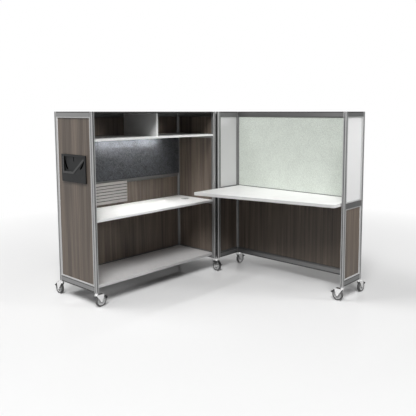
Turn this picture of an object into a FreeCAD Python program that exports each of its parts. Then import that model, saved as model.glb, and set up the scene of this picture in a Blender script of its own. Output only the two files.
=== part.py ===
import FreeCAD, Part
import math
import os

from FreeCAD import Vector

# Mobile fold-up workstation: a storage half and a desk half, hinged on one upright edge, on casters.
# It is built about the fold hinge, with Z up from the floor, and moved to its own centre at the end.
# The storage half lies along -X with its front towards -Y, the desk half along -Y with its front towards -X.

# Driving sizes of the two halves
overall_height = 1676.0
half_width = 1510.0
storage_depth = 569.0
desk_depth = 342.0
fold_gap = 5.4

# Upright and rail sections
post_size = 30.0
post_corner_radius = 5.0
tube_wall = 2.5
groove_width = 9.0
groove_depth = 1.2
top_rail_height = 44.0
middle_rail_height = 50.0
bottom_rail_height = 53.0
middle_rail_drop = 26.0
tack_rail_height = 27.0
cap_height = 8.0
cap_inset = 1.5
skirt_height = 7.0
plug_height = 3.0
plug_spigot = 12.0
plug_slack = 0.2

# Infill panels and the beads that hold them
wood_thickness = 12.0
screen_thickness = 8.0
fabric_thickness = 16.0
bead_width = 12.0
bead_taper = 4.0
bead_inset = 1.5

# Boards of the storage half
top_panel_thickness = 12.0
top_panel_drop = 4.0
cubby_height = 215.0
shelf_thickness = 18.0
shelf_setback = 12.0
divider_thickness = 22.0
divider_setback = 50.0
worktop_thickness = 20.0
worktop_base = 735.0
worktop_setback = 22.0
floor_shelf_thickness = 27.0
floor_shelf_rise = 29.0
floor_shelf_setback = 31.0
board_edge_radius = 1.5
board_slack = 0.3

# Tackboard and slotted tool panel on the back of the storage half
tack_thickness = 16.0
tack_slack = 1.0
tool_thickness = 15.0
tool_width = 728.0
tool_height = 207.0
tool_rise = 24.0
tool_overlap = 8.0
slat_count = 7
slat_groove = 7.0
slat_groove_depth = 8.0

# Under-shelf light
light_length = 820.0
light_depth = 50.0
light_height = 18.0
light_back_room = 73.0
lens_height = 3.0
lens_margin = 5.0

# Support angles
angle_leg = 25.0
angle_thickness = 3.0
angle_end_margin = 5.0
angle_front = 14.0

# Cable grommet in the storage worktop
grommet_hole_radius = 40.0
grommet_slack = 0.3
grommet_wall = 3.7
grommet_lip = 5.0
grommet_flange_height = 2.0
grommet_tail = 4.0
grommet_from_side = 165.0
grommet_from_front = 295.0

# Wall pocket on the outer left side: a shallow box of sheets with a window, and a mitred trim on three sides
pocket_width = 362.0
pocket_height = 240.0
pocket_depth = 12.0
pocket_wall = 2.0
pocket_top_drop = 371.0
pocket_from_front = 104.0
window_side = 39.0
window_top_drop = 18.0
window_low = 92.0
window_low_run = 138.0
window_high = 214.0
window_far_side = 24.0
trim_width = 19.0
trim_thickness = 3.0
pocket_slot_from_back = 171.0
pocket_slot_width = 9.0
pocket_slot_length = 44.0
pocket_slot_drop = 16.0

# Desk worktop, deep by the hinge and shallow at the free end so that it swings past the far post
desk_top_base = 851.0
desk_top_thickness = 30.0
desk_top_hinge_margin = 48.0
desk_top_free_margin = 34.0
desk_top_hinge_reach = 384.0
desk_top_free_reach = 112.0
desk_top_corner_radius = 45.0
desk_top_tip_radius = 8.0
desk_edge_radius = 2.0

# Brackets under the desk worktop
bracket_web = 5.0
bracket_flange = 40.0
bracket_plate = 3.0
bracket_back_height = 80.0
bracket_tip_height = 14.0
bracket_reach_shares = (0.75, 0.72)
bracket_place_shares = (0.34, 0.67)
side_bracket_leg = 42.0
side_bracket_drop = 25.0
side_bracket_margin = 10.0

# Fold hinge, a continuous strip with knuckles on both leaves
hinge_leaf = 1.2
hinge_width = 26.0
hinge_knuckle_clearance = 0.35
hinge_pin_radius = 1.1
hinge_pin_clearance = 0.05
hinge_knuckle_count = 15
hinge_knuckle_gap = 0.4
hinge_end_margin = 20.0

# Casters: a screwed stem, a swivelling fork, a wheel and a brake pedal
wheel_radius = 50.0
wheel_width = 27.0
wheel_edge_radius = 5.0
tyre_depth = 11.0
hub_boss_radius = 13.0
hub_web = 9.0
hub_rim = 5.0
hub_inset = 1.5
axle_radius = 4.0
axle_head_radius = 7.0
axle_head = 2.0
running_clearance = 0.05
side_clearance = 0.3
caster_trail = 42.0
fork_side_room = 1.0
fork_leg = 3.0
fork_crown = 4.0
fork_boss_radius = 10.0
fork_back_reach = 10.0
fork_pin_margin = 7.0
crown_pedal_room = 4.5
crown_clearance = 6.0
cup_radius = 15.5
cup_height = 14.7
collar_radius = 14.0
collar_height = 6.0
stem_radius = 6.0
stem_head_radius = 9.0
stem_head_height = 3.7
stem_length = 40.0
socket_height = 45.0
front_stem_setback = 19.0
pedal_pin_radius = 2.5
pedal_pin_forward = 18.0
pedal_pin_rise = 3.0
pedal_hub_radius = 5.5
pedal_clearance = 0.8
pedal_thickness = 5.0
pedal_start_angle = 12.0
pedal_end_angle = 66.0
pedal_toe_length = 15.0
pedal_toe_thickness = 6.0
pedal_side_clearance = 1.0

# One overrun serves every cut, and one tolerance every comparison of places
overrun = 1.0
tolerance = 0.01

# Places that follow from the sizes of the casters
crown_base = 2 * wheel_radius + crown_clearance
crown_top = crown_base + fork_crown
cup_top = crown_top + cup_height
frame_lift = cup_top + side_clearance + collar_height
fork_gap = wheel_width + 2 * fork_side_room
fork_half = fork_gap / 2 + fork_leg
pedal_pin_x = caster_trail + pedal_pin_forward
pedal_pin_z = 2 * wheel_radius + pedal_pin_rise
fork_front_reach = pedal_pin_x + fork_pin_margin
crown_end = pedal_pin_x - pedal_hub_radius - crown_pedal_room

# Places that follow from the sizes of the frames
hinge_x = fold_gap / 2
bottom_rail_top = frame_lift + bottom_rail_height
top_rail_base = overall_height - top_rail_height
storage_back_inside = storage_depth - post_size
desk_back_inside = desk_depth - post_size
end_walls = ((post_size, 1), (half_width - post_size, -1))
top_panel_top = overall_height - top_panel_drop
top_panel_base = top_panel_top - top_panel_thickness
shelf_top = top_panel_base - cubby_height
shelf_base = shelf_top - shelf_thickness
worktop_top = worktop_base + worktop_thickness
tool_base = worktop_top + tool_rise
tool_top = tool_base + tool_height
tack_rail_base = tool_top - tool_overlap
middle_rail_base = desk_top_base - middle_rail_drop
floor_shelf_base = frame_lift + floor_shelf_rise
pocket_base = overall_height - pocket_top_drop - pocket_height
grommet_bore_radius = grommet_hole_radius - grommet_slack - grommet_wall

solids = {}


def keep(name, *shapes):
    """Add separate solids to one named piece."""
    solids.setdefault(name, []).extend(shapes)


def block(low, high):
    """A box between two corners."""
    size = [b - a for a, b in zip(low, high)]
    return Part.makeBox(*size, Vector(*low))


def storage_block(s, t, z):
    """A box in the storage half: s from the hinge side, t from its front, z from the floor."""
    return block((-s[1], t[0], z[0]), (-s[0], t[1], z[1]))


def desk_block(s, t, z):
    """A box in the desk half: s from the hinge side, t from its front, z from the floor."""
    return block((fold_gap + t[0], -s[1], z[0]), (fold_gap + t[1], -s[0], z[1]))


def turned(shape, degrees, place):
    """Turn a shape about the upright axis through the origin, then carry it to its place."""
    moved = shape.copy()
    moved.rotate(Vector(), Vector(0, 0, 1), degrees)
    moved.translate(Vector(*place))
    return moved


def face_of(points):
    """A flat face with straight sides."""
    corners = [Vector(*p) for p in points]
    return Part.Face(Part.makePolygon(corners + corners[:1]))


def rounded_edges(shape, radius, chosen):
    """Round the edges that a test picks."""
    return shape.makeFillet(radius, [e for e in shape.Edges if chosen(e)])


def is_upright(edge):
    """True for an edge that rises."""
    return edge.BoundBox.ZLength > tolerance


def is_level(edge):
    """True for an edge that lies flat."""
    return edge.BoundBox.ZLength < tolerance


def make_post(low_x, low_y):
    """A square tube upright with rounded corners and a shallow groove down the middle of each face."""
    top = overall_height - plug_height
    post = block((low_x, low_y, frame_lift), (low_x + post_size, low_y + post_size, top))
    post = rounded_edges(post, post_corner_radius, is_upright)
    inner_low = (low_x + tube_wall, low_y + tube_wall, frame_lift - overrun)
    inner_high = (low_x + post_size - tube_wall, low_y + post_size - tube_wall, top + overrun)
    post = post.cut(block(inner_low, inner_high))
    near, far = (post_size - groove_width) / 2, (post_size + groove_width) / 2
    for low, high in ((-overrun, groove_depth), (post_size - groove_depth, post_size + overrun)):
        for x, y in (((low, high), (near, far)), ((near, far), (low, high))):
            groove_low = (low_x + x[0], low_y + y[0], frame_lift - overrun)
            groove_high = (low_x + x[1], low_y + y[1], top + overrun)
            post = post.cut(block(groove_low, groove_high))
    return post


def end_plug(low_x, low_y, cap_z, spigot_z):
    """A cap the size of an upright's section, with a spigot that goes into the tube."""
    cap = block((low_x, low_y, cap_z[0]), (low_x + post_size, low_y + post_size, cap_z[1]))
    cap = rounded_edges(cap, post_corner_radius, is_upright)
    inset = tube_wall + plug_slack
    spigot_low = (low_x + inset, low_y + inset, spigot_z[0])
    spigot_high = (low_x + post_size - inset, low_y + post_size - inset, spigot_z[1])
    return cap.fuse(block(spigot_low, spigot_high)).removeSplitter()


def make_plug(low_x, low_y):
    """The plug that closes the top of an upright."""
    seat = overall_height - plug_height
    return end_plug(low_x, low_y, (seat, overall_height), (seat - plug_spigot, seat))


def make_foot(low_x, low_y):
    """The plug that closes the foot of the one upright without a caster."""
    seat = frame_lift
    return end_plug(low_x, low_y, (seat - plug_height, seat), (seat, seat + plug_spigot))


def make_rail(length, low_z, high_z):
    """A hollow rail between two posts, in a wall's own frame."""
    rail = block((post_size, 0, low_z), (length - post_size, post_size, high_z))
    hollow_low = (post_size - overrun, tube_wall, low_z + tube_wall)
    hollow_high = (length - post_size + overrun, post_size - tube_wall, high_z - tube_wall)
    return rail.cut(block(hollow_low, hollow_high))


def make_strip(length, low_z, high_z):
    """A dark strip between two posts, set in a little from both faces of the wall."""
    return block((post_size, cap_inset, low_z), (length - post_size, post_size - cap_inset, high_z))


def make_infill(length, z, thickness):
    """A panel in the middle of a wall's thickness."""
    margin = (post_size - thickness) / 2
    return block((post_size, margin, z[0]), (length - post_size, post_size - margin, z[1]))


def make_bead(length, z, thickness, outside):
    """A four-sided bead with a sloping inner edge, on one face of a panel."""
    margin = (post_size - thickness) / 2
    near, far = (bead_inset, margin) if outside else (post_size - bead_inset, post_size - margin)
    ring = block((post_size, min(near, far), z[0]), (length - post_size, max(near, far), z[1]))
    slope = bead_width - bead_taper
    wide = (post_size + slope, z[0] + slope, length - post_size - slope, z[1] - slope)
    tight = (post_size + bead_width, z[0] + bead_width, length - post_size - bead_width, z[1] - bead_width)
    first, last = (wide, tight) if outside else (tight, wide)
    low, high = min(near, far), max(near, far)
    near_face = (first[0], low, first[1])
    far_face = (first[2], high, first[3])
    hole = Part.makeWedge(*near_face, last[1], last[0], *far_face, last[3], last[2])
    return ring.cut(hole)


def make_wall(length, openings):
    """Rails, strips, panels and beads of one wall. Its outer face is at y = 0."""
    cap_base = overall_height - cap_height
    skirt_top = frame_lift + skirt_height
    levels = [skirt_top] + [z for rng, _ in openings for z in rng] + [cap_base]
    rails = [make_rail(length, levels[i], levels[i + 1]) for i in range(0, len(levels), 2)]
    infills = [make_infill(length, rng, thick) for rng, thick in openings]
    beads = [make_bead(length, rng, thick, side) for rng, thick in openings for side in (True, False)]
    strips = [make_strip(length, cap_base, overall_height), make_strip(length, frame_lift, skirt_top)]
    return rails, infills, beads, strips


def place_wall(wall, degrees, place):
    """Carry a wall's pieces from its own frame to the half."""
    return [[turned(shape, degrees, place) for shape in group] for group in wall]


def storage_frame():
    """Posts, rails, wood panels and beads of the storage half."""
    for low_x in (-post_size, -half_width):
        for low_y in (0, storage_back_inside):
            keep("storage_posts", make_post(low_x, low_y), make_plug(low_x, low_y))
    full = (bottom_rail_top, top_rail_base)
    end = [(full, wood_thickness)]
    lower = (bottom_rail_top, tack_rail_base)
    upper = (tack_rail_base + tack_rail_height, top_rail_base)
    back = [(lower, wood_thickness), (upper, wood_thickness)]
    walls = {
        "left": place_wall(make_wall(storage_depth, end), -90, (-half_width, storage_depth, 0)),
        "right": place_wall(make_wall(storage_depth, end), 90, (0, 0, 0)),
        "back": place_wall(make_wall(half_width, back), 180, (0, storage_depth, 0)),
    }
    for side, (rails, infills, beads, strips) in walls.items():
        keep("storage_back_rails" if side == "back" else "storage_end_rails", *rails)
        keep(f"storage_{side}_panel", *infills)
        keep("storage_beads", *beads)
        keep("storage_edge_strips", *strips)


def desk_frame():
    """Posts, rails, screens, lower panels and beads of the desk half."""
    near, far = fold_gap, fold_gap + desk_back_inside
    for low_x in (near, far):
        for low_y in (-post_size, -half_width):
            keep("desk_posts", make_post(low_x, low_y), make_plug(low_x, low_y))
    keep("desk_posts", make_foot(near, -post_size))
    lower = (bottom_rail_top, middle_rail_base)
    upper = (middle_rail_base + middle_rail_height, top_rail_base)
    end = [(lower, wood_thickness), (upper, screen_thickness)]
    back = [(lower, wood_thickness), (upper, fabric_thickness)]
    outer = fold_gap + desk_depth
    walls = {
        "left": place_wall(make_wall(desk_depth, end), 180, (outer, 0, 0)),
        "right": place_wall(make_wall(desk_depth, end), 0, (fold_gap, -half_width, 0)),
        "back": place_wall(make_wall(half_width, back), 90, (outer, -half_width, 0)),
    }
    for side, (rails, infills, beads, strips) in walls.items():
        keep("desk_back_rails" if side == "back" else "desk_end_rails", *rails)
        keep(f"{side}_lower_panel", infills[0])
        keep("fabric_screen" if side == "back" else f"{side}_screen", infills[1])
        keep("desk_beads", *beads)
        keep("desk_edge_strips", *strips)


def board(s, t, z, radius=board_edge_radius):
    """A storage board with softened long edges."""
    plain = storage_block(s, t, z)
    return rounded_edges(plain, radius, is_level)


def storage_boards():
    """Top panel, overhead shelf, divider, worktop and floor shelf."""
    across = (post_size, half_width - post_size)
    back = storage_back_inside
    keep("storage_top_panel", storage_block(across, (0, back), (top_panel_base, top_panel_top)))
    inner = (across[0] + board_slack, across[1] - board_slack)
    keep("overhead_shelf", board(inner, (shelf_setback, back - board_slack), (shelf_base, shelf_top)))
    middle = half_width / 2
    divider = (middle - divider_thickness / 2, middle + divider_thickness / 2)
    depth = (divider_setback, back - board_slack)
    keep("overhead_divider", storage_block(divider, depth, (shelf_top, top_panel_base)))
    worktop = board(inner, (worktop_setback, back - board_slack), (worktop_base, worktop_top))
    hole = Part.makeCylinder(
        grommet_hole_radius,
        worktop_thickness + 2 * overrun,
        Vector(-grommet_from_side, grommet_from_front, worktop_base - overrun),
    )
    keep("storage_worktop", worktop.cut(hole))
    floor_top = floor_shelf_base + floor_shelf_thickness
    depth = (floor_shelf_setback, back - board_slack)
    keep("floor_shelf", board(inner, depth, (floor_shelf_base, floor_top)))


def cable_grommet():
    """A flanged liner in the worktop's cable hole."""
    centre = Vector(-grommet_from_side, grommet_from_front, 0)
    top = worktop_top
    base = worktop_base - grommet_tail
    liner_radius = grommet_hole_radius - grommet_slack
    liner = Part.makeCylinder(liner_radius, top - base, centre + Vector(0, 0, base))
    flange_radius = grommet_hole_radius + grommet_lip
    flange = Part.makeCylinder(flange_radius, grommet_flange_height, centre + Vector(0, 0, top))
    height = top - base + grommet_flange_height + 2 * overrun
    bore = Part.makeCylinder(grommet_bore_radius, height, centre + Vector(0, 0, base - overrun))
    keep("cable_grommet", liner.fuse(flange).cut(bore).removeSplitter())


def support_angle(place, wall, top, leg, drop, side_t, flat_t):
    """An angle on an end wall's inner face, under a board. wall holds the face's s and the way inward."""
    face, inward = wall
    upright = sorted((face, face + inward * angle_thickness))
    flat = sorted((face, face + inward * leg))
    side = place(upright, side_t, (top - drop, top))
    return side.fuse(place(flat, flat_t, (top - angle_thickness, top))).removeSplitter()


def storage_supports():
    """Angles on the end frames under the three long boards, screwed to the front posts."""
    back = storage_back_inside - tack_thickness - board_slack
    boards = (
        (shelf_base, angle_leg, shelf_setback),
        (worktop_base, angle_leg, worktop_setback),
        (floor_shelf_base, floor_shelf_rise, floor_shelf_setback),
    )
    for top, drop, setback in boards:
        for wall in end_walls:
            side_t = (angle_front, back)
            flat_t = (setback + angle_end_margin, back)
            keep("shelf_supports", support_angle(storage_block, wall, top, angle_leg, drop, side_t, flat_t))


def tack_and_tool():
    """The tackboard above the rail and the slotted tool panel hung on it."""
    back = storage_back_inside
    tack_base = tack_rail_base + tack_rail_height
    across = (post_size + tack_slack, half_width - post_size - tack_slack)
    keep("tackboard", storage_block(across, (back - tack_thickness, back), (tack_base, shelf_base)))
    far = half_width - post_size - tack_slack
    front = back - tool_thickness
    panel = storage_block((far - tool_width, far), (front, back), (tool_base, tool_top))
    pitch = (tool_top - tool_base) / slat_count
    for i in range(1, slat_count):
        middle = tool_base + i * pitch
        groove_z = (middle - slat_groove / 2, middle + slat_groove / 2)
        groove_s = (far - tool_width - overrun, far + overrun)
        panel = panel.cut(storage_block(groove_s, (front - overrun, front + slat_groove_depth), groove_z))
    keep("tool_panel", panel)


def task_light():
    """A slim lamp under the overhead shelf, with its lens below."""
    s = ((half_width - light_length) / 2, (half_width + light_length) / 2)
    light_back = storage_back_inside - tack_thickness - light_back_room
    t = (light_back - light_depth, light_back)
    base = shelf_base - light_height
    keep("task_light", storage_block(s, t, (base, shelf_base)))
    lens_s = (s[0] + lens_margin, s[1] - lens_margin)
    lens_t = (t[0] + lens_margin, t[1] - lens_margin)
    keep("task_light_lens", storage_block(lens_s, lens_t, (base - lens_height, base)))


def wall_pocket():
    """A shallow box on the outer left panel: a back sheet, a rim, a front sheet with a window, and its trim."""
    width, depth, wall, height = pocket_width, pocket_depth, pocket_wall, pocket_height
    back = block((0, 0, 0), (width, wall, height))
    slot_top = height - pocket_slot_drop
    slot_low = (pocket_slot_from_back, -overrun, slot_top - pocket_slot_length)
    slot_high = (pocket_slot_from_back + pocket_slot_width, wall + overrun, slot_top)
    back = back.cut(block(slot_low, slot_high))
    rims = [
        block((0, wall, 0), (width, depth - wall, wall)),
        block((0, wall, height - wall), (width, depth - wall, height)),
        block((0, wall, wall), (wall, depth - wall, height - wall)),
        block((width - wall, wall, wall), (width, depth - wall, height - wall)),
    ]
    window_right = width - window_far_side
    top = height - window_top_drop
    low_left = (window_side, window_low)
    low_right = (window_side + window_low_run, window_low)
    high_right = (window_right, window_high)
    edge = [(window_side, top), low_left, low_right, high_right]
    window = face_of([(x, depth - wall - overrun, z) for x, z in edge + [(window_right, top)]])
    front = block((0, depth - wall, 0), (width, depth, height))
    front = front.cut(window.extrude(Vector(0, wall + 2 * overrun, 0)))
    slope = math.atan2(window_high - window_low, high_right[0] - low_right[0])
    corner = low_right[0] + trim_width * math.tan(slope / 2)
    end = (high_right[0] + trim_width * math.sin(slope), high_right[1] - trim_width * math.cos(slope))
    outer = [(window_side - trim_width, top), (window_side - trim_width, window_low - trim_width)]
    outer += [(corner, window_low - trim_width), end]
    panel_face = -half_width + (post_size - wood_thickness) / 2
    place = (panel_face, pocket_from_front + width, pocket_base)
    for sheet in [back, front] + rims:
        keep("wall_pocket", turned(mirrored(sheet), -90, place))
    for first, second in ((0, 1), (1, 2), (2, 3)):
        corners = [edge[first], edge[second], outer[second], outer[first]]
        strip = face_of([(x, depth, z) for x, z in corners]).extrude(Vector(0, trim_thickness, 0))
        keep("pocket_trim", turned(mirrored(strip), -90, place))


def mirrored(shape):
    """Swap inward and outward in a wall's own frame."""
    return shape.mirror(Vector(), Vector(0, 1, 0))


def desk_worktop():
    """The desk worktop, tapering from the hinge side to a rounded free corner."""
    near, far = desk_top_hinge_margin, half_width - desk_top_free_margin
    back = desk_back_inside
    outline = [(near, back), (near, -desk_top_hinge_reach), (far, -desk_top_free_reach), (far, back)]
    points = [(fold_gap + t, -s, desk_top_base) for s, t in outline]
    top = face_of(points).extrude(Vector(0, 0, desk_top_thickness))
    free_corner, hinge_corner = Vector(*points[2]), Vector(*points[1])
    top = rounded_edges(top, desk_top_corner_radius, lambda e: stands_on(e, free_corner))
    top = rounded_edges(top, desk_top_tip_radius, lambda e: stands_on(e, hinge_corner))
    edge_x = fold_gap + back - tolerance
    top = rounded_edges(top, desk_edge_radius, lambda e: is_level(e) and e.BoundBox.XMin < edge_x)
    keep("desk_worktop", top)


def stands_on(edge, point):
    """True for an upright edge over a point."""
    start = edge.Vertexes[0].Point
    return is_upright(edge) and math.hypot(start.x - point.x, start.y - point.y) < tolerance


def desk_brackets():
    """Angles at both ends and two cantilever brackets on the back rail."""
    along = (post_size + side_bracket_margin, desk_back_inside - side_bracket_margin)
    for wall in end_walls:
        leg, drop = side_bracket_leg, side_bracket_drop
        keep("desk_brackets", support_angle(desk_block, wall, desk_top_base, leg, drop, along, along))
    back = desk_back_inside
    for place_share, reach_share in zip(bracket_place_shares, bracket_reach_shares):
        s = half_width * place_share
        edge = desk_top_hinge_reach - (desk_top_hinge_reach - desk_top_free_reach) * place_share
        tip = -edge * reach_share
        web_outline = [
            (fold_gap + back, -s, desk_top_base),
            (fold_gap + tip, -s, desk_top_base),
            (fold_gap + tip, -s, desk_top_base - bracket_tip_height),
            (fold_gap + back, -s, desk_top_base - bracket_back_height),
        ]
        web = face_of(web_outline).extrude(Vector(0, bracket_web, 0))
        web.translate(Vector(0, -bracket_web / 2, 0))
        across = (s - bracket_flange / 2, s + bracket_flange / 2)
        flange = desk_block(across, (tip, back), (desk_top_base - bracket_plate, desk_top_base))
        plate_z = (desk_top_base - bracket_back_height, desk_top_base)
        plate = desk_block(across, (back - bracket_plate, back), plate_z)
        keep("desk_brackets", web.fuse([flange, plate]).removeSplitter())


def fold_hinge():
    """A continuous hinge: a leaf on each half, interleaved knuckles and one long pin."""
    low = frame_lift + hinge_end_margin
    high = overall_height - hinge_end_margin
    knuckle_radius = fold_gap / 2 - hinge_knuckle_clearance
    leaves = {
        "storage_hinge_leaf": block((0, 0, low), (hinge_leaf, hinge_width, high)),
        "desk_hinge_leaf": block((fold_gap / 2, 0, low), (fold_gap + hinge_width, hinge_leaf, high)),
    }
    pitch = (high - low) / hinge_knuckle_count
    bore = hinge_pin_radius + hinge_pin_clearance
    relief = knuckle_radius + hinge_knuckle_clearance
    for number, (name, leaf) in enumerate(leaves.items()):
        for i in range(hinge_knuckle_count):
            base = low + i * pitch
            if i % 2 == number:
                knuckle_base = base + hinge_knuckle_gap / 2
                height = pitch - hinge_knuckle_gap
                leaf = leaf.fuse(Part.makeCylinder(knuckle_radius, height, Vector(hinge_x, 0, knuckle_base)))
            else:
                leaf = leaf.cut(Part.makeCylinder(relief, pitch, Vector(hinge_x, 0, base)))
        leaf = leaf.cut(Part.makeCylinder(bore, high - low + 2 * overrun, Vector(hinge_x, 0, low - overrun)))
        gaps = [low + i * pitch for i in range(1, hinge_knuckle_count)]
        for z in gaps:
            ring = Part.makeCylinder(relief, hinge_knuckle_gap, Vector(hinge_x, 0, z - hinge_knuckle_gap / 2))
            leaf = leaf.cut(ring)
        keep(name, leaf.removeSplitter())
    keep("hinge_pin", Part.makeCylinder(hinge_pin_radius, high - low, Vector(hinge_x, 0, low)))


# Every caster by name: its half, its stem's place and the way its wheel trails, in degrees from +X
side_stem = post_size / 2
far_stem = half_width - post_size / 2
storage_back_stem = storage_depth - post_size / 2
desk_back_stem = desk_depth - post_size / 2
casters = {
    "storage_front_left": ("storage", (-far_stem, front_stem_setback), 0),
    "storage_back_left": ("storage", (-far_stem, storage_back_stem), 90),
    "storage_back_right": ("storage", (-side_stem, storage_back_stem), 90),
    "hinge_corner": ("storage", (-side_stem, front_stem_setback), -90),
    "desk_back_left": ("desk", (fold_gap + desk_back_stem, -side_stem), 0),
    "desk_back_right": ("desk", (fold_gap + desk_back_stem, -far_stem), 0),
    "desk_front_right": ("desk", (fold_gap + front_stem_setback, -far_stem), 90),
}


def upright_rod(radius, low, high):
    """A rod on the stem's axis."""
    return Part.makeCylinder(radius, high - low, Vector(0, 0, low))


def cross_rod(radius, half_length, x, z):
    """A rod along the wheel's axis."""
    return Part.makeCylinder(radius, 2 * half_length, Vector(x, -half_length, z), Vector(0, 1, 0))


def make_stem():
    """The screwed stem with its collar and riveted head."""
    head_top = crown_base - side_clearance
    shaft = upright_rod(stem_radius, head_top, frame_lift + stem_length)
    collar = upright_rod(collar_radius, frame_lift - collar_height, frame_lift)
    head = upright_rod(stem_head_radius, head_top - stem_head_height, head_top)
    return shaft.fuse([collar, head]).removeSplitter()


def make_socket(centre, corner):
    """The block that fills the foot of a post around the stem."""
    inset = tube_wall + plug_slack
    low = (corner[0] + inset, corner[1] + inset, frame_lift)
    high = (corner[0] + post_size - inset, corner[1] + post_size - inset, frame_lift + socket_height)
    bore_radius = stem_radius + running_clearance
    bore = upright_rod(bore_radius, frame_lift - overrun, frame_lift + socket_height + overrun)
    return block(low, high).cut(turned(bore, 0, (*centre, 0)))


def make_fork():
    """The swivelling fork: crown, bearing cup and two tapering legs."""
    crown = block((0, -fork_half, crown_base), (crown_end, fork_half, crown_top))
    crown = crown.fuse(upright_rod(fork_half, crown_base, crown_top))
    cup = upright_rod(cup_radius, crown_top, cup_top)
    outline = [
        (-fork_back_reach, crown_top),
        (fork_front_reach, crown_top),
        (fork_front_reach, pedal_pin_z - pedal_hub_radius),
        (caster_trail + fork_boss_radius, wheel_radius),
        (caster_trail - fork_boss_radius, wheel_radius),
        (-fork_back_reach, crown_base),
    ]
    legs = []
    for y in (fork_gap / 2, -fork_half):
        plate = face_of([(x, y, z) for x, z in outline]).extrude(Vector(0, fork_leg, 0))
        centre = Vector(caster_trail, y, wheel_radius)
        boss = Part.makeCylinder(fork_boss_radius, fork_leg, centre, Vector(0, 1, 0))
        legs.append(plate.fuse(boss))
    fork = crown.fuse([cup] + legs)
    across = fork_half + overrun
    fork = fork.cut(upright_rod(stem_radius + running_clearance, crown_base - overrun, cup_top + overrun))
    fork = fork.cut(cross_rod(axle_radius + running_clearance, across, caster_trail, wheel_radius))
    fork = fork.cut(cross_rod(pedal_pin_radius + running_clearance, across, pedal_pin_x, pedal_pin_z))
    return fork.removeSplitter()


def make_axle():
    """The wheel's axle with a flat head at each end."""
    rod = cross_rod(axle_radius, fork_half + axle_head, caster_trail, wheel_radius)
    heads = []
    for y in (fork_half, -fork_half - axle_head):
        start = Vector(caster_trail, y, wheel_radius)
        heads.append(Part.makeCylinder(axle_head_radius, axle_head, start, Vector(0, 1, 0)))
    return rod.fuse(heads).removeSplitter()


def make_tyre():
    """A rounded tread round the hub."""
    outer = cross_rod(wheel_radius, wheel_width / 2, caster_trail, wheel_radius)
    outer = rounded_edges(outer, wheel_edge_radius, lambda e: e.Closed)
    hub_radius = wheel_radius - tyre_depth
    return outer.cut(cross_rod(hub_radius, wheel_width / 2 + overrun, caster_trail, wheel_radius))


def make_hub():
    """A dished hub with a boss that runs on the axle."""
    rim_radius = wheel_radius - tyre_depth
    half = wheel_width / 2 - hub_inset
    hub = cross_rod(rim_radius, half, caster_trail, wheel_radius)
    dish = cross_rod(rim_radius - hub_rim, half + overrun, caster_trail, wheel_radius)
    web = cross_rod(rim_radius - hub_rim, hub_web / 2, caster_trail, wheel_radius)
    boss = cross_rod(hub_boss_radius, fork_gap / 2 - side_clearance, caster_trail, wheel_radius)
    hub = hub.cut(dish).fuse([web, boss])
    bore = cross_rod(axle_radius + running_clearance, fork_gap / 2, caster_trail, wheel_radius)
    return hub.cut(bore).removeSplitter()


def wheel_point(radius, degrees):
    """A point in the wheel's plane, by its distance and angle from the axle."""
    angle = math.radians(degrees)
    return (caster_trail + radius * math.cos(angle), wheel_radius + radius * math.sin(angle))


def make_pedal():
    """A brake pedal that hugs the wheel, turns on a pin in the fork and ends in a toe tab."""
    half = fork_gap / 2 - pedal_side_clearance
    inner = wheel_radius + pedal_clearance
    outer = inner + pedal_thickness
    middle_angle = (pedal_start_angle + pedal_end_angle) / 2

    def at(radius, degrees):
        x, z = wheel_point(radius, degrees)
        return Vector(x, -half, z)

    edges = [
        Part.Arc(at(inner, pedal_start_angle), at(inner, middle_angle), at(inner, pedal_end_angle)).toShape(),
        Part.makeLine(at(inner, pedal_end_angle), at(outer, pedal_end_angle)),
        Part.Arc(at(outer, pedal_end_angle), at(outer, middle_angle), at(outer, pedal_start_angle)).toShape(),
        Part.makeLine(at(outer, pedal_start_angle), at(inner, pedal_start_angle)),
    ]
    shoe = Part.Face(Part.Wire(edges)).extrude(Vector(0, 2 * half, 0))
    root = at(inner, pedal_start_angle)
    tip = root + Vector(pedal_toe_length, 0, pedal_toe_length / 2)
    rise = Vector(0, 0, pedal_toe_thickness)
    toe = face_of([root, tip, tip + rise, root + rise + rise]).extrude(Vector(0, 2 * half, 0))
    hub = cross_rod(pedal_hub_radius, half, pedal_pin_x, pedal_pin_z)
    pedal = shoe.fuse([toe, hub])
    pedal = pedal.cut(cross_rod(inner, half + overrun, caster_trail, wheel_radius))
    bore_radius = pedal_pin_radius + running_clearance
    return pedal.cut(cross_rod(bore_radius, half + overrun, pedal_pin_x, pedal_pin_z))


def make_casters():
    """Seven casters, each turned the way it trails."""
    stem, pedal = make_stem(), make_pedal()
    tyre, hub = make_tyre(), make_hub()
    pedal_pin = cross_rod(pedal_pin_radius, fork_half, pedal_pin_x, pedal_pin_z)
    fork_set = (make_fork(), make_axle(), pedal_pin)
    for name, (half, centre, heading) in casters.items():
        place = (*centre, 0)
        corner = post_corner_of(half, centre)
        keep(f"{half}_caster_stems", turned(stem, 0, place), make_socket(centre, corner))
        keep(f"{name}_fork", *(turned(shape, heading, place) for shape in fork_set))
        keep(f"{name}_wheel", turned(tyre, heading, place), turned(hub, heading, place))
        keep(f"{name}_brake", turned(pedal, heading, place))


def post_corner_of(half, centre):
    """The low corner of the post that a stem stands in."""
    x, y = centre
    if half == "storage":
        low_x = -post_size if x > -half_width / 2 else -half_width
        low_y = 0 if y < storage_depth / 2 else storage_back_inside
    else:
        low_x = fold_gap if x < fold_gap + desk_depth / 2 else fold_gap + desk_back_inside
        low_y = -post_size if y > -half_width / 2 else -half_width
    return low_x, low_y


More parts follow.
